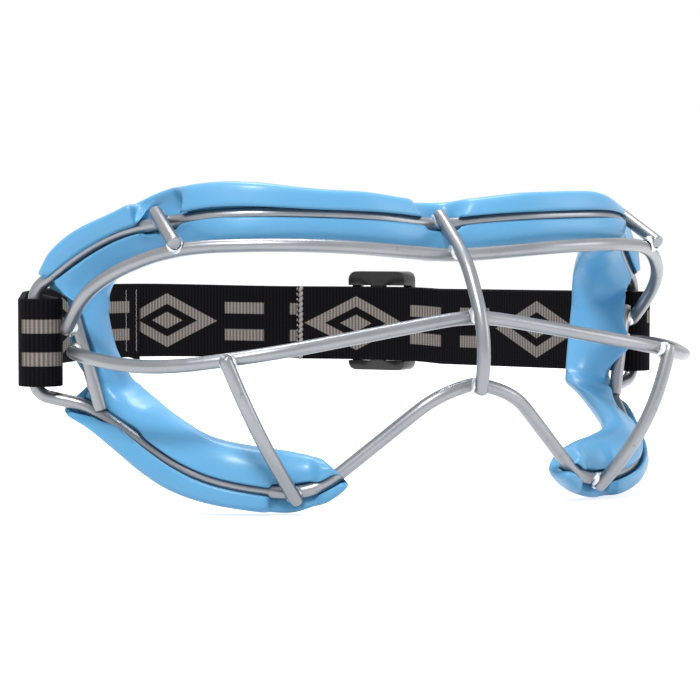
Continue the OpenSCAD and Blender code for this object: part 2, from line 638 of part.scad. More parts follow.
function clock(a) = [sin(a), cos(a)];
to_turn = turn_centre - back_middle;
turn_bearing = atan2(to_turn[0], to_turn[1]);
outer_tangent = turn_bearing - acos((back_r - turn_mid_r) / norm(to_turn));
function tail_tangent(r) = turn_bearing - acos((r + turn_mid_r) / norm(to_turn));
function arc_angles(a, b, step) =
  let (n = ceil(abs(b - a) / step))
  [for (i = [0 : n]) a + (b - a) * i / n];

function strap_half(tail_r, tail_end) =
  let (tangent = tail_tangent(tail_r))
  concat([for (a = arc_angles(0, outer_tangent, arc_step)) [back_middle + clock(a) * back_r, clock(a)]],
    [for (a = arc_angles(outer_tangent, tangent + 180, 15)) [turn_centre + clock(a) * turn_mid_r, clock(a)]],
    [for (a = arc_angles(tangent, tail_end, arc_step)) [back_middle + clock(a) * tail_r, -clock(a)]]);

function mirror_place(q) = [[-q[0][0], q[0][1]], [-q[1][0], q[1][1]]];

left_tail_r = back_r - strap_t - left_room;
right_tail_r = back_r - strap_t - right_room;

function sector(r1, r2, a1, a2) =
  concat([for (a = arc_angles(a1, a2, arc_step)) back_middle + clock(a) * r2],
    [for (a = arc_angles(a2, a1, arc_step)) back_middle + clock(a) * r1]);

module band(r1, r2, a1, a2, low, high) {
  translate([0, 0, low]) linear_extrude(high - low) polygon(sector(r1, r2, a1, a2));
}

module strap_webbing() {
  right = strap_half(right_tail_r, right_tail_end);
  left = [for (q = strap_half(left_tail_r, left_tail_end)) mirror_place(q)];
  places = concat([for (i = [len(left) - 1 : -1 : 1]) left[i]], right);
  faces = concat([for (q = places) q[0] + q[1] * strap_t / 2],
    [for (q = reverse(places)) q[0] - q[1] * strap_t / 2]);
  color(strap_color) translate([0, 0, -strap_w / 2]) linear_extrude(strap_w) polygon(faces);
}

module left_tail_stitches() {
  from = -left_tail_end - 2;
  across_gap = [left_tail_r + strap_t / 2 - 0.1, back_r - strap_t / 2 + 0.1];
  width = tack_w / back_r * 180 / PI;
  color(thread_color) band(across_gap[0], across_gap[1], from - width, from, -strap_w * 0.42, strap_w * 0.42);
}

module right_tail_overlock() {
  inner = right_tail_r - strap_t / 2;
  outer = right_tail_r + strap_t / 2;
  high = strap_w / 2 + thread_t;
  end = right_tail_end;
  color(thread_color) difference() {
    band(inner - thread_t, outer + thread_t, end - 0.3, end + 1.2, -high, high);
    band(inner, outer, end, end + 2, -strap_w / 2, strap_w / 2);
  }
}

// Slider: two outer bars outside the webbing, one bar between its layers, joined by a rail above and one below

module slider() {
  half = slider_l / 2 / back_r * 180 / PI;
  bar = rail_w / back_r * 180 / PI;
  half_bar = slider_bar_w / 2 / back_r * 180 / PI;
  outside = back_r + strap_t / 2 + slider_room;
  inside = [back_r - strap_t / 2 - right_room + slider_room, back_r - strap_t / 2 - slider_room];
  low = slider_lift - strap_w / 2 - slot_play;
  high = slider_lift + strap_w / 2 + slot_play;
  color(slider_color) {
    band(inside[0], outside + rail_t, slider_at - half, slider_at + half, low - rail_w, low);
    band(inside[0], outside + rail_t, slider_at - half, slider_at + half, high, high + rail_w);
    band(outside, outside + rail_t, slider_at - half, slider_at - half + bar, low, high);
    band(outside, outside + rail_t, slider_at + half - bar, slider_at + half, low, high);
    band(inside[0], inside[1], slider_at - half_bar, slider_at + half_bar, low, high);
  }
}

ring_wire();
upper_wire();
middle_wire();
centre_bar();
upper_strut();  // upper_strut_left
mirror([1, 0, 0]) upper_strut();  // upper_strut_right
lower_strut(lower_strut_left_wire);  // lower_strut_left
mirror([1, 0, 0]) lower_strut(lower_strut_right_wire);  // lower_strut_right
temple_bar();  // temple_bar_left
mirror([1, 0, 0]) temple_bar();  // temple_bar_right
centre_bar_welds();
upper_strut_welds();  // upper_strut_welds_left
mirror([1, 0, 0]) upper_strut_welds();  // upper_strut_welds_right
lower_strut_welds(lower_strut_left_wire);  // lower_strut_welds_left
mirror([1, 0, 0]) lower_strut_welds(lower_strut_right_wire);  // lower_strut_welds_right
temple_welds();  // temple_welds_left
mirror([1, 0, 0]) temple_welds();  // temple_welds_right
face_pad();
strap_webbing();
left_tail_stitches();
right_tail_overlock();
slider();
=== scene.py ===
# %% [markdown]
# # Wire-cage lacrosse goggles
# This notebook dresses a pair of sports goggles: a welded cage of bent steel wire, a blue moulded face pad
# that grips the cage, and a black elastic strap that is doubled back through a slider behind the head.
# The engineering model comes first, as a fixed frame. Everything made below sits exactly where it says.

# %% Load the frame
import math
import bpy
import bmesh
from mathutils import Matrix, Vector
from mathutils.bvhtree import BVHTree


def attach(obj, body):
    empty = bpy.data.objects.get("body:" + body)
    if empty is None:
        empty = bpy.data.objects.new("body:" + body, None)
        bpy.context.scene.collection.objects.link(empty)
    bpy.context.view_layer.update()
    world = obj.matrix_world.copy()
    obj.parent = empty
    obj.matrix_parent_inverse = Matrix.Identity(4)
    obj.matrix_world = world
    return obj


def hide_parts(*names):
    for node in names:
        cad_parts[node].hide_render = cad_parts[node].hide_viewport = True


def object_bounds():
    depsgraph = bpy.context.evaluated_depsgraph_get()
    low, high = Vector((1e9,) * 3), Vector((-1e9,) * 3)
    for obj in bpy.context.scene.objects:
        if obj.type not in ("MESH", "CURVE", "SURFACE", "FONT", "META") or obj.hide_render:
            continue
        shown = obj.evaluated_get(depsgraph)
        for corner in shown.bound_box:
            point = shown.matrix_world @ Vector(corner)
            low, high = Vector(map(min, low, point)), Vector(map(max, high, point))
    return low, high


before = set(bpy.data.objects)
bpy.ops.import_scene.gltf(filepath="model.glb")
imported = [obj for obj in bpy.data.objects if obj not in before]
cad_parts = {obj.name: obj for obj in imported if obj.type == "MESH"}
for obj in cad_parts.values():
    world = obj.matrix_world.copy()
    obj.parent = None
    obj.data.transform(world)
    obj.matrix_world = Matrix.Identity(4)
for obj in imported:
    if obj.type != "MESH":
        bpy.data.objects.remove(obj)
cad_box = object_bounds()
MM = 0.001


def in_mm(box):
    return [[round(c / MM, 1) for c in corner] for corner in box]


print("CAD box in mm:", in_mm(cad_box))

# %% [markdown]
# ## The camera
# The photograph looks at the goggles from the left of the front and a little above. A long lens keeps the
# far end of the strap nearly as large as the near end, so the lens matters as much as the direction.

# %% Place the camera
CAMERA_AT = Vector((-350.5, -659.8, 30.2)) * MM
CAMERA_TOWARD = Vector((0.4475, 0.8932, -0.0436))
LENS_MM = 141.3
SENSOR_MM = 36

camera_data = bpy.data.cameras.new("camera")
camera_data.lens = LENS_MM
camera_data.sensor_width = SENSOR_MM
camera = bpy.data.objects.new("camera", camera_data)
bpy.context.collection.objects.link(camera)
camera.location = CAMERA_AT
camera.rotation_euler = CAMERA_TOWARD.to_track_quat("-Z", "Y").to_euler()
bpy.context.scene.camera = camera
bpy.context.scene.view_settings.view_transform = "Standard"
print("camera stands", round(CAMERA_AT.length, 3), "m from the middle of the goggles")

# %% [markdown]
# ## Writing materials as sums
# A procedural material is a sum of patterns. Wiring it by hand hides that sum, so one small class wraps a
# node's output and lets Python's own operators add the Math nodes. Any other node comes from one method.

# %% A socket that can be added and multiplied
class Signal:
    def __init__(self, paint, value):
        self.paint = paint
        self.value = value

    def maths(self, operation, *others):
        return self.paint.node("ShaderNodeMath", {"operation": operation}, [self, *others])

    def __add__(self, other):
        return self.maths("ADD", other)

    def __sub__(self, other):
        return self.maths("SUBTRACT", other)

    def __mul__(self, other):
        return self.maths("MULTIPLY", other)

    def __truediv__(self, other):
        return self.maths("DIVIDE", other)

    def __rsub__(self, other):
        return self.paint.node("ShaderNodeMath", {"operation": "SUBTRACT"}, [other, self])

    def __rtruediv__(self, other):
        return self.paint.node("ShaderNodeMath", {"operation": "DIVIDE"}, [other, self])

    __radd__ = __add__
    __rmul__ = __mul__


print("ready to add up patterns")

# %% [markdown]
# A Mix node has one set of sockets for each kind of data, and some share a name. The colour ones are found
# by their number. The other nodes used here have plain names for their sockets.

# %% A material and its nodes
MIX_FACTOR, MIX_FIRST_COLOUR, MIX_SECOND_COLOUR = 0, 6, 7
MIX_COLOUR_OUT = 2


class Paint:
    """One material, with its Principled shader and a method that makes any node."""

    def __init__(self, name, **constants):
        self.material = bpy.data.materials.new(name)
        self.material.use_nodes = True
        self.tree = self.material.node_tree
        self.shader = self.tree.nodes["Principled BSDF"]
        for socket, value in constants.items():
            self.shader.inputs[socket.replace("_", " ")].default_value = value

    def node(self, kind, settings=None, values=(), output=0):
        made = self.tree.nodes.new(kind)
        for setting, value in (settings or {}).items():
            setattr(made, setting, value)
        pairs = values.items() if isinstance(values, dict) else enumerate(values)
        for socket, value in pairs:
            if isinstance(value, Signal):
                self.tree.links.new(value.value, made.inputs[socket])
            else:
                made.inputs[socket].default_value = value
        return Signal(self, made.outputs[output])

    def blend(self, factor, first, second):
        """Two colours mixed by a mask."""
        first, second = [c if isinstance(c, Signal) else (*c, 1) for c in (first, second)]
        sockets = {MIX_FACTOR: factor, MIX_FIRST_COLOUR: first, MIX_SECOND_COLOUR: second}
        return self.node("ShaderNodeMix", {"data_type": "RGBA"}, sockets, MIX_COLOUR_OUT)

    def step(self, value, low, high):
        """0 below low, 1 above high and a smooth slope between."""
        sockets = {"Value": value, "From Min": low, "From Max": high}
        return self.node("ShaderNodeMapRange", {"interpolation_type": "SMOOTHSTEP"}, sockets)

    def between(self, value, low, high, fringe):
        """1 from low to high and 0 outside, with a slope of the fringe's width past each."""
        return self.step(value, low, low + fringe) * (1 - self.step(value, high, high + fringe))

    def place(self):
        """Where a point of the piece is, in metres."""
        return self.node("ShaderNodeTexCoord", output="Object")

    def noise(self, where, scale, detail=3.0):
        return self.node("ShaderNodeTexNoise", None, {"Vector": where, "Scale": scale, "Detail": detail})

    def bump(self, height, distance, strength):
        sockets = {"Height": height, "Distance": distance, "Strength": strength}
        return self.node("ShaderNodeBump", None, sockets)

    def feed(self, socket, signal):
        self.tree.links.new(signal.value, self.shader.inputs[socket])


print("ready to mix materials")

# %% [markdown]
# ## Coated wire
# The cage is steel wire under a thin silver-grey coat. The coat is satin, a little pebbled where it flowed
# and scuffed where it rubbed. Noise of three sizes gives the clouds, the pebbles and the scuffs.

# %% Wire finish
def coated_wire():
    coat = Paint("satin grey wire coat", Metallic=0.85, Coat_Weight=0.15, Coat_Roughness=0.25)
    where = coat.place()
    cloud = coat.noise(where, scale=60.0)
    pebble = coat.noise(where, scale=1400.0, detail=2.0)
    scuff = coat.step(coat.noise(where, scale=520.0, detail=5.0), 0.62, 0.76)
    grey = coat.blend(cloud, (0.21, 0.22, 0.24), (0.33, 0.34, 0.36))
    coat.feed("Base Color", coat.blend(scuff * 0.5, grey, (0.16, 0.16, 0.17)))
    coat.feed("Roughness", cloud * 0.16 + pebble * 0.1 + scuff * 0.15 + 0.22)
    coat.feed("Normal", coat.bump(pebble, distance=0.06 * MM, strength=0.45))
    return coat.material


WIRE = coated_wire()
print("wire finish:", WIRE.name)

# %% [markdown]
# The photograph shows bright beads at the crossings, where the weld melted through the coat. Their metal is
# lighter than the coat and rippled as it set.

# %% Weld finish
def weld_metal():
    bead = Paint("bright weld bead", Metallic=0.9)
    ripple = bead.noise(bead.place(), scale=900.0)
    bead.feed("Base Color", bead.blend(ripple, (0.55, 0.57, 0.58), (0.82, 0.83, 0.84)))
    bead.feed("Roughness", ripple * 0.25 + 0.2)
    bead.feed("Normal", bead.bump(ripple, distance=0.2 * MM, strength=0.5))
    return bead.material


WELD = weld_metal()
print("weld finish:", WELD.name)

# %% [markdown]
# ## From triangles to smooth skins
# The frame's solids are closed shells of flat triangles. A copy of one makes a good cage for a subdivision
# surface: its doubled points are merged, its triangles are paired into four-sided faces, and the surface is
# then smoothed. Smoothing pulls a round bar in a little, so the copy is first let out by the same amount.

# %% Copy a solid as a cage for smoothing
SAME_POINT = 0.001 * MM


def solid_copy(node_name):
    """A bmesh of a CAD node with its points merged and its triangles paired."""
    shell = bmesh.new()
    shell.from_mesh(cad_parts[node_name].data)
    bmesh.ops.remove_doubles(shell, verts=shell.verts, dist=SAME_POINT)
    bmesh.ops.join_triangles(shell, faces=shell.faces, angle_face_threshold=0.9, angle_shape_threshold=3.1)
    return shell


def let_out(shell, distance):
    """Moves every point outward along its normal."""
    shell.normal_update()
    normals = {v: v.normal.copy() for v in shell.verts}
    for vert, normal in normals.items():
        vert.co += normal * distance


print("copies can be made of", len(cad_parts), "solids")

# %% [markdown]
# Every finished piece goes through the same last steps: it becomes an object, gets its material, rides on
# one body of the frame, and the solid that it stands for is hidden.

# %% Turn a bmesh into a piece
def add_piece(name, shell, material, body, replaced, smooth_levels=0):
    mesh = bpy.data.meshes.new(name)
    shell.to_mesh(mesh)
    shell.free()
    piece = bpy.data.objects.new(name, mesh)
    bpy.context.collection.objects.link(piece)
    mesh.materials.append(material)
    mesh.polygons.foreach_set("use_smooth", [True] * len(mesh.polygons))
    if smooth_levels:
        smoother = piece.modifiers.new("smooth", "SUBSURF")
        smoother.levels = smoother.render_levels = smooth_levels
    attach(piece, body)
    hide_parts(replaced)
    return piece


# %% [markdown]
# ## The cage
# Every wire is its own piece on the real goggles, bent on a former and only then welded, so every wire is a
# piece here too. A twelve-sided tube loses four and a half hundredths of its radius when it is smoothed.

# %% Smooth the bent wires
WIRE_RADIUS = 1.8 * MM
TUBE_SIDES = 12
SMOOTHING_LOSS = (1 - math.cos(math.tau / TUBE_SIDES)) / 3
BENT_WIRES = ["ring_wire", "upper_wire", "middle_wire", "centre_bar",
              "lower_strut_left", "lower_strut_right"]

for wire_name in BENT_WIRES:
    tube = solid_copy(wire_name)
    let_out(tube, WIRE_RADIUS * SMOOTHING_LOSS)
    piece = add_piece(wire_name + "_coated", tube, WIRE, "frame", wire_name, smooth_levels=2)
    print(wire_name, len(piece.data.polygons), "faces in the cage")

# %% [markdown]
# The short struts and the temple bars are straight. Their solids are true cylinders with a chamfer, so a
# fresh cylinder between the same two ends gets a fine bevel instead.

# %% Straight bars
STRAIGHT_BARS = ["upper_strut_left", "upper_strut_right", "temple_bar_left", "temple_bar_right"]
BAR_SIDES = 32
BAR_EDGE = 0.5 * MM
LEVEL = 0.0001 * MM


def bar_ends(points):
    """The middles of a straight bar's two end faces."""
    middle = sum(points, Vector()) / len(points)
    far = max(points, key=lambda p: (p - middle).length)
    end_reach = 2.5 * WIRE_RADIUS
    first = [p for p in points if (p - far).length < end_reach]
    second = [p for p in points if (p - far).length >= end_reach]
    return [sum(group, Vector()) / len(group) for group in (first, second)]


def straight_bar(node_name):
    """A bevelled cylinder in a straight solid's place, and its length."""
    points = [v.co.copy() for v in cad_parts[node_name].data.vertices]
    start, end = bar_ends(points)
    way = (end - start).normalized()
    along = [(p - start).dot(way) for p in points]
    low, high = min(along), max(along)
    bar = bmesh.new()
    bmesh.ops.create_cone(bar, cap_ends=True, segments=BAR_SIDES,
                          radius1=WIRE_RADIUS, radius2=WIRE_RADIUS, depth=high - low)
    rims = [e for e in bar.edges if abs(e.verts[0].co.z - e.verts[1].co.z) < LEVEL]
    bmesh.ops.bevel(bar, geom=rims, offset=BAR_EDGE, segments=4, profile=0.5, affect="EDGES", material=-1)
    turn = way.to_track_quat("Z", "Y").to_matrix().to_4x4()
    stand = Matrix.Translation(start + way * (low + high) / 2) @ turn
    bmesh.ops.transform(bar, matrix=stand, verts=bar.verts)
    return bar, high - low


for bar_name in STRAIGHT_BARS:
    bar, bar_length = straight_bar(bar_name)
    add_piece(bar_name + "_coated", bar, WIRE, "frame", bar_name)
    print(bar_name, "is", round(bar_length / MM, 1), "mm long")

# %% [markdown]
# A weld bead is a small drop of metal, and its solid already has that shape. So the solid itself is shown,
# and only gets the beads' metal.

# %% Weld beads keep their own solids
for node_name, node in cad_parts.items():
    if "welds" in node_name:
        node.data.materials.clear()
        node.data.materials.append(WELD)
        print(node_name, "gets", WELD.name)

# %% [markdown]
# ## Face pad
# The pad is one moulding of soft sky-blue rubber. Its front has a groove that snaps over the ring wire, a
# flat outer lip and a rounded inner lip, and it is deep behind the wire where it rests on the face.
# The rubber has a soft skin with a faint gloss, a fine grain, low waves from its mould, and dust.

# %% Rubber
def pad_rubber():
    rubber = Paint("sky blue pad rubber", Specular_IOR_Level=0.45, Coat_Weight=0.25, Coat_Roughness=0.22)
    where = rubber.place()
    cloud = rubber.noise(where, scale=45.0, detail=2.0)
    wave = rubber.noise(where, scale=75.0, detail=1.0)
    grain = rubber.noise(where, scale=2600.0, detail=2.0)
    dust = rubber.step(rubber.noise(where, scale=320.0, detail=4.0), 0.62, 0.8)
    blue = rubber.blend(cloud, (0.100, 0.365, 0.650), (0.125, 0.405, 0.690))
    rubber.feed("Base Color", rubber.blend(dust * 0.12, blue, (0.26, 0.56, 0.82)))
    rubber.feed("Roughness", cloud * 0.1 + grain * 0.08 + 0.36)
    rubber.feed("Normal", rubber.bump(wave * 0.9 + grain * 0.04, distance=0.8 * MM, strength=0.35))
    return rubber.material


RUBBER = pad_rubber()
print("pad finish:", RUBBER.name)

# %% [markdown]
# The solid has the pad's whole section, so a smoothed copy of it rounds the mould's edges as rubber rounds
# them. But smoothing draws a thin lip in most of all, and the wire would lie bare in a wide channel.
# A crease on an edge tells the smoothing to keep it: the steeper the corner, the stronger the crease.
# Only edges near the wire get one, and none at the two nose ends. So the outer corners of the notches and
# the nose ends become round.

# %% Keep the lips sharp
GRIPPED_WIRES = ["ring_wire", "temple_bar_left", "temple_bar_right"]
LIP_REACH = 2.5 * MM
NOSE_END = 42 * MM
NOSE_END_TOP = -20 * MM

wires = bmesh.new()
for wire_name in GRIPPED_WIRES:
    wires.from_mesh(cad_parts[wire_name].data)
GRIPPED = BVHTree.FromBMesh(wires)
wires.free()


def crease_corners(shell, gentle, steep, strongest):
    """Creases the edges at the wire that turn by more than the gentle angle, in degrees."""
    crease = shell.edges.layers.float.new("crease_edge")
    kept = 0
    for edge in shell.edges:
        middle = (edge.verts[0].co + edge.verts[1].co) / 2
        at_wire = GRIPPED.find_nearest(middle)[3] < LIP_REACH
        at_nose = abs(middle.x) < NOSE_END and middle.z < NOSE_END_TOP
        if len(edge.link_faces) == 2 and at_wire and not at_nose:
            turn = math.degrees(edge.calc_face_angle(0))
            edge[crease] = strongest * min(max((turn - gentle) / (steep - gentle), 0), 1)
            kept += edge[crease] > 0
    return kept


moulding = solid_copy("face_pad")
print("creased edges:", crease_corners(moulding, gentle=35, steep=75, strongest=0.75))

# %% [markdown]
# A soft moulding never sits quite evenly on its frame. In the photograph the brow's lip swells before the
# left strut and dips before the right one, the cheek hangs a little, and the right temple band bulges
# forward over its bar. The pockets at the struts keep thick rims, and rubber laps over the bars' feet.
# Each of these is one gentle push on the cage. It fades with distance and spares the rubber at the wire.

# %% Push the rubber
FREE_OF_WIRE = 2.5 * MM


def fade(distance, reach):
    """1 at a place, 0 from its reach onward and a smooth slope between."""
    near = 1 - min(distance / reach, 1)
    return near * near * (3 - 2 * near)


def push(shell, middle, reach, way, side):
    """Moves rubber near a place, on one side of the wire, and says how far. All in millimetres."""
    middle, way = (Vector(v) * MM for v in (middle, way))
    strongest = 0
    for vert in shell.verts:
        near = fade((vert.co - middle).length, reach * MM)
        if near > 0:
            wire = GRIPPED.find_nearest(vert.co)[0]
            clear = min(max((vert.co - wire).dot(Vector(side)) / FREE_OF_WIRE, 0), 1)
            vert.co += way * clear * near
            strongest = max(strongest, clear * near)
    return round(strongest * way.length / MM, 1)


UP, DOWN, FORWARD, RIGHT, LEFT = (0, 0, 1), (0, 0, -1), (0, -1, 0), (1, 0, 0), (-1, 0, 0)
PUSHES = {
    "left brow swells": ((-60, 0, 38), 32, (0, 0, 2.6), UP),
    "left brow end rises": ((-88, 28, 27), 15, (-0.5, 0, 1.4), UP),
    "right brow dips": ((67, 0, 40), 24, (0, 0, -2.4), UP),
    "left cheek hangs": ((-74, 6, -34), 30, (0, 0, -1.5), DOWN),
    "left cheek's end fills out": ((-86, 34, -19), 9, (-2.4, 1, -0.6), DOWN),
    "right band bulges": ((80, 29, -4), 24, (2, -6.5, 0), FORWARD),
    "right band laps over its bar": ((81, 29, -9), 15, (5, -3, 0), FORWARD),
    "the left strut's pocket keeps its rim": ((-69, 12, 36), 11, (0, -0.5, 2.6), UP),
    "the left cheek's pocket keeps its rim": ((-46, -17, -42), 9, (0, -3, -0.6), DOWN),
    "the right cheek's pocket keeps its rim": ((46, -17, -42), 9, (0, -3, -0.6), DOWN),
    "rubber laps over the left bar's foot": ((-77, 26, -14), 13, (-2.5, -3, 0), RIGHT),
    "rubber laps over the right bar's foot": ((77, 26, -14), 13, (2.5, -3, 0), LEFT),
}
for name, (middle, reach, way, side) in PUSHES.items():
    print(name, push(moulding, middle, reach, way, side), "mm")

# %% [markdown]
# The pushed cage becomes the pad, a thick moulding that gives only a little.

# %% The pad
pad = add_piece("moulded_pad", moulding, RUBBER, "frame", "face_pad", smooth_levels=2)
print("pad cage:", len(pad.data.polygons), "faces")

# %% [markdown]
# ## The strap's way
# Seen from above, the strap leaves one strap bar, runs straight until it meets the round of the head,
# follows it, and comes to the other strap bar. At each bar it turns back and lies inside itself. One list
# of places along the webbing's middle describes it all. The left half's places are mirrored.

# %% Sizes of the strap
WEB_WIDTH = 23.6 * MM
WEB_THICK = 1.6 * MM
BACK_RADIUS = 75 * MM
BACK_MIDDLE = Vector((0, 165 * MM - BACK_RADIUS, 0))
STRAP_BAR = Vector((95, 40, 0)) * MM
TURN_RADIUS = 5.2 * MM
TURN_PLAY = 1.6 * MM
TURN_PLAY_WAY = 60
LEFT_TAIL_RADIUS, LEFT_TAIL_END = 73.0 * MM, 12
RIGHT_TAIL_RADIUS, RIGHT_TAIL_END = 70.6 * MM, 31
print("webbing", round(WEB_WIDTH / MM, 1), "by", round(WEB_THICK / MM, 1), "mm")

# %% [markdown]
# Directions on the round of the head are given as on a clock, in degrees from the middle of the back. The
# middle of a turn stands a little in front of its bar and inward of it, so the loop isn't centred on it.

# %% Places along the webbing
BACK_STEP = 3
TURN_STEP = 12


def clock(degrees):
    return Vector((math.sin(math.radians(degrees)), math.cos(math.radians(degrees)), 0))


TURN_MIDDLE = STRAP_BAR - clock(TURN_PLAY_WAY) * TURN_PLAY


def tangent(radius, turn_radius):
    """Where a straight run leaves the round of the head, in degrees.

    The turn's radius is negative for the run that passes outside the bar."""
    way = TURN_MIDDLE - BACK_MIDDLE
    return math.degrees(math.atan2(way.x, way.y) - math.acos((radius + turn_radius) / way.length))


def arc(middle, radius, start, end, step):
    count = math.ceil(abs(end - start) / step)
    return [middle + clock(start + (end - start) * i / count) * radius for i in range(count + 1)]


OUTER_TANGENT = tangent(BACK_RADIUS, -TURN_RADIUS)


def half_way(tail_radius, tail_end):
    """Places from the middle of the back, round one bar, to the tail's end."""
    inner_tangent = tangent(tail_radius, TURN_RADIUS)
    back = arc(BACK_MIDDLE, BACK_RADIUS, 0, OUTER_TANGENT, BACK_STEP)
    turn = arc(TURN_MIDDLE, TURN_RADIUS, OUTER_TANGENT, inner_tangent + 180, TURN_STEP)
    tail = arc(BACK_MIDDLE, tail_radius, inner_tangent, tail_end, BACK_STEP)
    return back + turn + tail


left_places = [Vector((-p.x, p.y, 0)) for p in half_way(LEFT_TAIL_RADIUS, LEFT_TAIL_END)]
right_places = half_way(RIGHT_TAIL_RADIUS, RIGHT_TAIL_END)
strap_places = left_places[:0:-1] + right_places
print("strap places:", len(strap_places), "outer tangent at", round(OUTER_TANGENT, 1), "degrees")

# %% [markdown]
# Elastic never runs quite level between its holds. In the photograph the back of the strap rises a little
# on the left, and its right side sinks a little. Each is one soft bump that fades with distance.

# %% How the strap hangs
DROOPS = [(Vector((-20, 160)), 62, 1.2), (Vector((80, 88)), 44, -1.6)]


def droop(place):
    """How far the webbing stands above or below the level at a place."""
    height = 0
    for middle, reach, rise in DROOPS:
        height += rise * MM * fade((place.to_2d() - middle * MM).length, reach * MM)
    return Vector((0, 0, height))


print("most droop:", round(min(droop(p).z for p in strap_places) / MM, 1), "mm")

# %% [markdown]
# ## Webbing
# Elastic webbing is rubber cords wrapped in polyester: it shows fine ribs across its width, a plain selvedge
# on each long edge, and a design woven in a second colour. A single upright edge is pulled along the way,
# and each point keeps its length along the strap in a UV map, so the weave follows the webbing round a turn.

# %% Pull an edge along the strap's way
CELLS_ACROSS = 12


def upright_edge(band, width):
    """The points of one upright edge, from its foot to its head."""
    foot, head = (bmesh.ops.create_vert(band, co=(0, 0, z))["vert"][0] for z in (-width / 2, width / 2))
    edge = band.edges.new((foot, head))
    bmesh.ops.subdivide_edges(band, edges=[edge], cuts=CELLS_ACROSS - 1)
    return sorted(band.verts, key=lambda v: v.co.z)


def webbing_shell(places, width):
    """The webbing's middle sheet and its length. Its first row of points stays level."""
    band = bmesh.new()
    uv = band.loops.layers.uv.new("along")
    row = upright_edge(band, width)
    heights = [v.co.z for v in row]
    lengths = {v: 0.0 for v in row}
    for vert in row:
        vert.co += places[0]
    run = 0.0
    edges = list(band.edges)
    for before, place in zip(places, places[1:]):
        run += (place - before).length
        grown = bmesh.ops.extrude_edge_only(band, edges=edges)["geom"]
        row = sorted([g for g in grown if isinstance(g, bmesh.types.BMVert)], key=lambda v: v.co.z)
        for vert, z in zip(row, heights):
            vert.co = place + droop(place) + Vector((0, 0, z))
            lengths[vert] = run
        edges = [e for e in band.edges if e.verts[0] in row and e.verts[1] in row]
    for face in band.faces:
        for loop in face.loops:
            loop[uv].uv = (lengths[loop.vert], loop.vert.co.z - droop(loop.vert.co).z)
    return band, run


band, strap_length = webbing_shell(strap_places, WEB_WIDTH)
print("webbing is", round(strap_length / MM), "mm long and", len(band.faces), "faces")

# %% [markdown]
# The weave's UV map gives the length along the strap and the height across it, in metres, so a woven design
# is only sums of those two. It is a plain geometric one: a lozenge in a larger lozenge's outline, and double
# bars between.

# %% Weave
RIB = 1.1 * MM
CORD = 0.8 * MM
SELVEDGE = 1.8 * MM
DESIGN_REPEAT = 75 * MM
CORE_SIZE = 2.6 * MM
LOZENGE_INNER, LOZENGE_OUTER = 5.2 * MM, 8.6 * MM
BARS_START, BARS_END = 20 * MM, 33 * MM
BAR_HEIGHT = 4.4 * MM
BAR_HALF_WIDTH = 1.7 * MM
FRINGE = 0.3 * MM
BAR_FRINGE = 0.4 * MM
SELVEDGE_FRINGE = 0.6 * MM


def ripple(signal, length):
    """A wave between 0 and 1 along a signal."""
    return (signal * (math.tau / length)).maths("SINE") * 0.5 + 0.5


def woven_design(weave, along, across):
    """1 where the second colour is woven in."""
    from_lozenge = ((along / DESIGN_REPEAT).maths("FRACT") - 0.5).maths("ABSOLUTE") * DESIGN_REPEAT
    height = across.maths("ABSOLUTE")
    slope = from_lozenge * 0.5 + height
    ring = weave.between(slope, LOZENGE_INNER, LOZENGE_OUTER, FRINGE)
    core = 1 - weave.step(slope, CORE_SIZE, CORE_SIZE + FRINGE)
    bars = weave.between(from_lozenge, BARS_START, BARS_END, BAR_FRINGE)
    off_bar = (height - BAR_HEIGHT).maths("ABSOLUTE")
    stripe = bars * (1 - weave.step(off_bar, BAR_HALF_WIDTH, BAR_HALF_WIDTH + FRINGE))
    selvedge_start = WEB_WIDTH / 2 - SELVEDGE
    selvedge = weave.step(height, selvedge_start, selvedge_start + SELVEDGE_FRINGE)
    return (ring + core + stripe).maths("MINIMUM", 1.0) * (1 - selvedge)


def webbing_weave():
    weave = Paint("black webbing with a woven design", Specular_IOR_Level=0.05)
    where = weave.node("ShaderNodeUVMap", {"uv_map": "along"})
    along = weave.node("ShaderNodeSeparateXYZ", None, [where], "X")
    across = weave.node("ShaderNodeSeparateXYZ", None, [where], "Y")
    rib = ripple(along, RIB)
    thread = rib * (ripple(across, CORD) * 0.35 + 0.65)
    fuzz = weave.noise(where, scale=1800.0)
    # The black and the taupe are each painted darker where thread is low, in the troughs between the ribs
    # and the cords, and the design fades toward black there too: painted shade on top of the yarns' own two
    # colours.
    black = weave.blend(thread, (0.002, 0.002, 0.003), (0.009, 0.008, 0.010))
    taupe = weave.blend(thread, (0.17, 0.145, 0.13), (0.33, 0.30, 0.275))
    design = woven_design(weave, along, across)
    weave.feed("Base Color", weave.blend(design * (rib * 0.25 + 0.75), black, taupe))
    weave.feed("Roughness", fuzz * 0.2 + 0.65)
    weave.feed("Normal", weave.bump(thread * 0.7 + fuzz * 0.3, distance=0.18 * MM, strength=0.8))
    return weave.material


WEAVE = webbing_weave()
print("webbing finish:", WEAVE.name)

# %% [markdown]
# The sheet has no thickness yet. Two modifiers finish it: one gives it its two faces, and one rounds the
# long edges, where the wrapped cords end.

# %% The strap
strap = add_piece("elastic_webbing", band, WEAVE, "strap", "strap_webbing")
thickness = strap.modifiers.new("thickness", "SOLIDIFY")
thickness.thickness = WEB_THICK
thickness.offset = 0
soft_edge = strap.modifiers.new("soft_edge", "BEVEL")
soft_edge.width = 0.35 * MM
soft_edge.segments = 3
soft_edge.limit_method = "ANGLE"
soft_edge.angle_limit = math.radians(60)
print("the strap is dressed in", strap.data.materials[0].name)

# %% [markdown]
# ## Slider
# The slider is a glossy black moulding: two rails joined by two outer bars, with a third bar that lies
# between the strap's layers. Its plastic is smooth, with faint flow marks and fine scuffs.

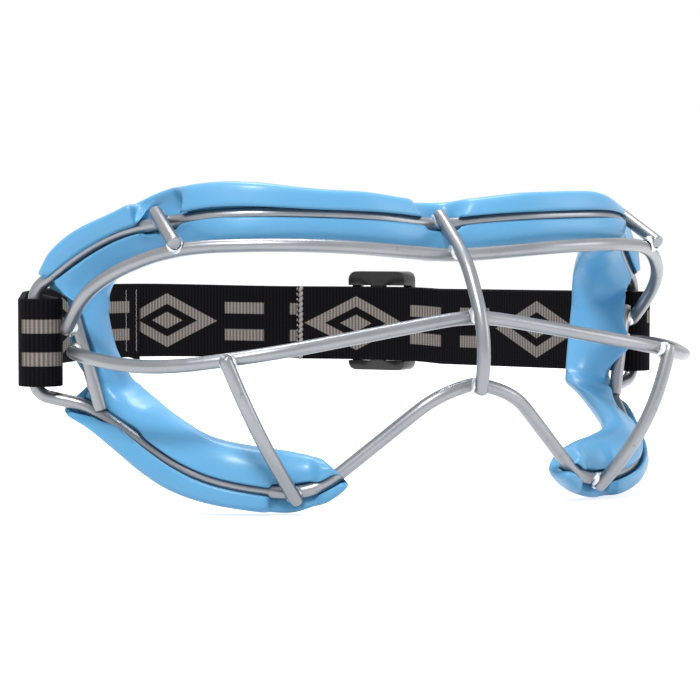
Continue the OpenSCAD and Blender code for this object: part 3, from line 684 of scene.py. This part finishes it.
# %% Plastic
def gloss_plastic():
    plastic = Paint("glossy black plastic", Specular_IOR_Level=0.5)
    where = plastic.place()
    flow = plastic.noise(where, scale=120.0, detail=2.0)
    scuff = plastic.step(plastic.noise(where, scale=700.0, detail=5.0), 0.6, 0.75)
    plastic.feed("Base Color", plastic.blend(scuff * 0.4, (0.006, 0.006, 0.007), (0.03, 0.03, 0.033)))
    plastic.feed("Roughness", flow * 0.1 + scuff * 0.2 + 0.18)
    plastic.feed("Normal", plastic.bump(flow, distance=0.1 * MM, strength=0.2))
    return plastic.material


PLASTIC = gloss_plastic()
print("slider finish:", PLASTIC.name)

# %% [markdown]
# Moulded edges are never sharp, so the slider's solid is copied and rounded: its rails' ends by a large
# bevel, and then every other edge by a small one. The top rail's foot is brought down first, so that the
# rail stands close above the webbing, as in the photograph.

# %% Rounded slider
SLOT_TOP = 13.8 * MM
SLOT_PLAY = 0.5 * MM
RAIL_END_ROUND = 2.6 * MM
EDGE_ROUND = 0.5 * MM
CORNER_DEGREES = 40
SAME_HEIGHT = 0.1 * MM
LEVEL_EDGE = 0.01 * MM

slider_shell = bmesh.new()
slider_shell.from_mesh(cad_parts["slider"].data)
bmesh.ops.remove_doubles(slider_shell, verts=slider_shell.verts, dist=SAME_POINT)
bmesh.ops.dissolve_limit(slider_shell, angle_limit=math.radians(1),
                         verts=slider_shell.verts, edges=slider_shell.edges)
for vert in slider_shell.verts:
    if abs(vert.co.z - SLOT_TOP) < SAME_HEIGHT:
        vert.co.z = WEB_WIDTH / 2 + SLOT_PLAY
rail_heights = [v.co.z for v in slider_shell.verts]


def corner_edges(shell):
    steep = math.radians(CORNER_DEGREES)
    return [e for e in shell.edges if len(e.link_faces) == 2 and e.calc_face_angle(0) > steep]


def at_rail_end(edge):
    """True for a level edge of a rail's outer face that points away from the middle of the head."""
    near, far = (v.co for v in edge.verts)
    outward = (near - BACK_MIDDLE).to_2d().to_3d().normalized()
    level = abs(near.z - far.z) < LEVEL_EDGE
    outermost = near.z in (min(rail_heights), max(rail_heights))
    return level and outermost and abs((near - far).normalized().dot(outward)) > 0.9


rail_ends = [e for e in corner_edges(slider_shell) if at_rail_end(e)]
bmesh.ops.bevel(slider_shell, geom=rail_ends, offset=RAIL_END_ROUND, segments=5, profile=0.5,
                affect="EDGES", material=-1)
bmesh.ops.bevel(slider_shell, geom=corner_edges(slider_shell), offset=EDGE_ROUND, segments=3, profile=0.5,
                affect="EDGES", material=-1, clamp_overlap=True)
slider = add_piece("rounded_slider", slider_shell, PLASTIC, "slider", "slider")
print("slider:", len(slider.data.polygons), "faces")

# %% [markdown]
# ## Thread
# The left tail is tacked to the outer run with grey thread, and the right tail's cut end is overlocked so
# that it can't fray. A stitch seen from outside is a short, thick bead of twisted thread.

# %% Thread finish
def grey_thread():
    thread = Paint("grey polyester thread", Sheen_Weight=0.3, Sheen_Roughness=0.4)
    twist = thread.noise(thread.place(), scale=2400.0, detail=2.0)
    thread.feed("Base Color", thread.blend(twist, (0.22, 0.21, 0.20), (0.42, 0.40, 0.38)))
    thread.feed("Roughness", twist * 0.2 + 0.55)
    thread.feed("Normal", thread.bump(twist, distance=0.1 * MM, strength=0.5))
    return thread.material


THREAD = grey_thread()
STITCH_FACES = 20
ABOVE = Vector((0, 0, 1))


def stitch(bundle, centre, along, out, length, thick, lift):
    """One raised stitch: a small rounded bead that lies along a direction."""
    made = bmesh.ops.create_icosphere(bundle, subdivisions=1, radius=1.0)["verts"]
    side = along.cross(out).normalized()
    shape = Matrix((along * length / 2, side * thick / 2, out * lift)).transposed().to_4x4()
    bmesh.ops.transform(bundle, matrix=Matrix.Translation(centre) @ shape, verts=made)


def share_up(number, count, height):
    """The height of one of a row of stitches that share out a height about the strap's middle."""
    return ((number + 0.5) / count - 0.5) * height


print("thread:", THREAD.name)

# %% [markdown]
# An overlock goes over the cut edge and back, so it is seen on both faces and on the cut itself.

# %% Overlock of the right tail
OVERLOCK_STITCHES = 14
OVERLOCK_INSET = 0.9
OVERLOCK_BEAD = {"length": 2.5 * MM, "thick": 1.5 * MM, "lift": 0.4 * MM}
WRAP_BEAD = {"length": 1.9 * MM, "thick": 1.2 * MM, "lift": 0.35 * MM}
PROUD = 0.05 * MM


def overlock():
    """Slanting stitches on both faces of the right tail's end, and a wrap over the cut."""
    bundle = bmesh.new()
    face_lift = WEB_THICK / 2 + PROUD
    outward = clock(RIGHT_TAIL_END)
    from_cut = clock(RIGHT_TAIL_END + 90)
    slant = (from_cut * 0.5 + ABOVE).normalized()
    faces_at = BACK_MIDDLE + clock(RIGHT_TAIL_END + OVERLOCK_INSET) * RIGHT_TAIL_RADIUS
    cut_at = BACK_MIDDLE + outward * RIGHT_TAIL_RADIUS - from_cut * PROUD
    for i in range(OVERLOCK_STITCHES):
        height = ABOVE * share_up(i, OVERLOCK_STITCHES, WEB_WIDTH)
        for face in (outward, -outward):
            centre = faces_at + face * face_lift + height
            stitch(bundle, centre + droop(centre), slant, face, **OVERLOCK_BEAD)
        wrap = cut_at + height
        stitch(bundle, wrap + droop(wrap), outward, -from_cut, **WRAP_BEAD)
    return bundle


end_thread = add_piece("overlock_thread", overlock(), THREAD, "strap", "right_tail_overlock")
print("overlock stitches:", len(end_thread.data.polygons) // STITCH_FACES)

# %% [markdown]
# A bar tack is a zigzag sewn through all layers, here in two rows near the left tail's end. Each stitch
# leans the other way from the last, and it shows on the strap's outside and on the tail's inside.

# %% Bar tack of the left tail
TACK_ROWS = 2
TACK_STITCHES = 22
TACK_HEIGHT = 0.84 * WEB_WIDTH
TACK_INSET = 1.2
TACK_ROW_GAP = 3.2
TACK_BEAD = {"length": 1.2 * MM, "thick": 0.3 * MM, "lift": 0.15 * MM}


def bar_tack():
    """Zigzag rows through the outer run and the left tail."""
    bundle = bmesh.new()
    for row in range(TACK_ROWS):
        angle = -LEFT_TAIL_END - TACK_INSET - row * TACK_ROW_GAP
        out = clock(angle)
        way = clock(angle + 90)
        outside = (BACK_RADIUS + WEB_THICK / 2, out)
        inside = (LEFT_TAIL_RADIUS - WEB_THICK / 2, -out)
        for i in range(TACK_STITCHES):
            lean = 0.3 if i % 2 else -0.3
            slant = (ABOVE * 1.1 + way * lean).normalized()
            for radius, face in (outside, inside):
                centre = BACK_MIDDLE + out * radius + ABOVE * share_up(i, TACK_STITCHES, TACK_HEIGHT)
                stitch(bundle, centre + droop(centre), slant, face, **TACK_BEAD)
    return bundle


tack_thread = add_piece("tack_thread", bar_tack(), THREAD, "strap", "left_tail_stitches")
print("bar tack stitches:", len(tack_thread.data.polygons) // STITCH_FACES)

# %% [markdown]
# ## Studio
# The photograph is a catalogue picture: even, soft light from above and both sides, and a white surround.
# The lamps and the world light the goggles at a plain level, and the white comes from Light Path: what looks
# straight, or by way of something glossy or clear, sees a world of strength 1.

# %% World
AMBIENT = 0.36
WHITE = (1, 1, 1, 1)


def add_looks(tree):
    """1 for the camera's own rays and for those that a glossy or a clear surface sends on."""
    path = tree.nodes.new("ShaderNodeLightPath")
    total = path.outputs["Is Camera Ray"]
    for name in ("Is Glossy Ray", "Is Transmission Ray"):
        joined = tree.nodes.new("ShaderNodeMath")
        joined.operation = "MAXIMUM"
        tree.links.new(total, joined.inputs[0])
        tree.links.new(path.outputs[name], joined.inputs[1])
        total = joined.outputs[0]
    return total


world = bpy.data.worlds.new("studio")
bpy.context.scene.world = world
world.use_nodes = True
sky = world.node_tree
ambient = sky.nodes["Background"]
ambient.inputs["Color"].default_value = WHITE
ambient.inputs["Strength"].default_value = AMBIENT
backdrop = sky.nodes.new("ShaderNodeBackground")
backdrop.inputs["Color"].default_value = WHITE
surround = sky.nodes.new("ShaderNodeMixShader")
for socket, output in zip(surround.inputs, (add_looks(sky), ambient.outputs[0], backdrop.outputs[0])):
    sky.links.new(output, socket)
sky.links.new(surround.outputs[0], sky.nodes["World Output"].inputs["Surface"])
print("ambient light", AMBIENT)

# %% [markdown]
# The goggles lie on white paper. Paper in soft light renders as a pale grey, so it glows a little, for looks
# only. The glow fills up the grey, and the goggles' shadow still shows on it.

# %% Floor
FLOOR_Z = cad_box[0][2] - 0.5 * MM
FLOOR_REACH = 3.0


def white_floor():
    paper = Paint("white paper floor", Roughness=1.0, Specular_IOR_Level=0.0, Emission_Strength=0.74)
    mottle = paper.noise(paper.place(), scale=3.0)
    paper.feed("Base Color", paper.blend(mottle, (0.79, 0.79, 0.79), (0.81, 0.81, 0.81)))
    looks = Signal(paper, add_looks(paper.tree))
    paper.feed("Emission Color", paper.blend(looks, (0, 0, 0), (1, 1, 1)))
    return paper.material


floor_shell = bmesh.new()
bmesh.ops.create_grid(floor_shell, x_segments=2, y_segments=2, size=FLOOR_REACH)
bmesh.ops.translate(floor_shell, verts=floor_shell.verts, vec=(0, 0, FLOOR_Z))
floor_mesh = bpy.data.meshes.new("floor")
floor_shell.to_mesh(floor_mesh)
floor_shell.free()
floor = bpy.data.objects.new("floor", floor_mesh)
bpy.context.collection.objects.link(floor)
floor_mesh.materials.append(white_floor())
print("floor at", round(FLOOR_Z / MM, 1), "mm")

# %% [markdown]
# Three round soft lamps stand where a product photographer would put them: the key at the front left, a weak
# fill at the front right, and one above for the brow and the strap.

# %% Lamps
def soft_lamp(name, at, toward, size, watts):
    data = bpy.data.lights.new(name, "AREA")
    data.shape = "DISK"
    data.size = size
    data.energy = watts
    lamp = bpy.data.objects.new(name, data)
    bpy.context.collection.objects.link(lamp)
    lamp.location = at
    lamp.rotation_euler = (Vector(toward) - Vector(at)).to_track_quat("-Z", "Y").to_euler()
    print(name, watts, "W")


soft_lamp("key", at=(-0.7, -0.8, 1.2), toward=(0, 0.03, 0), size=0.4, watts=17)
soft_lamp("fill", at=(1.1, -0.7, 0.4), toward=(0, 0.03, 0), size=0.7, watts=3.5)
soft_lamp("top", at=(0.1, 0.35, 1.3), toward=(0, 0.05, 0), size=0.5, watts=11)
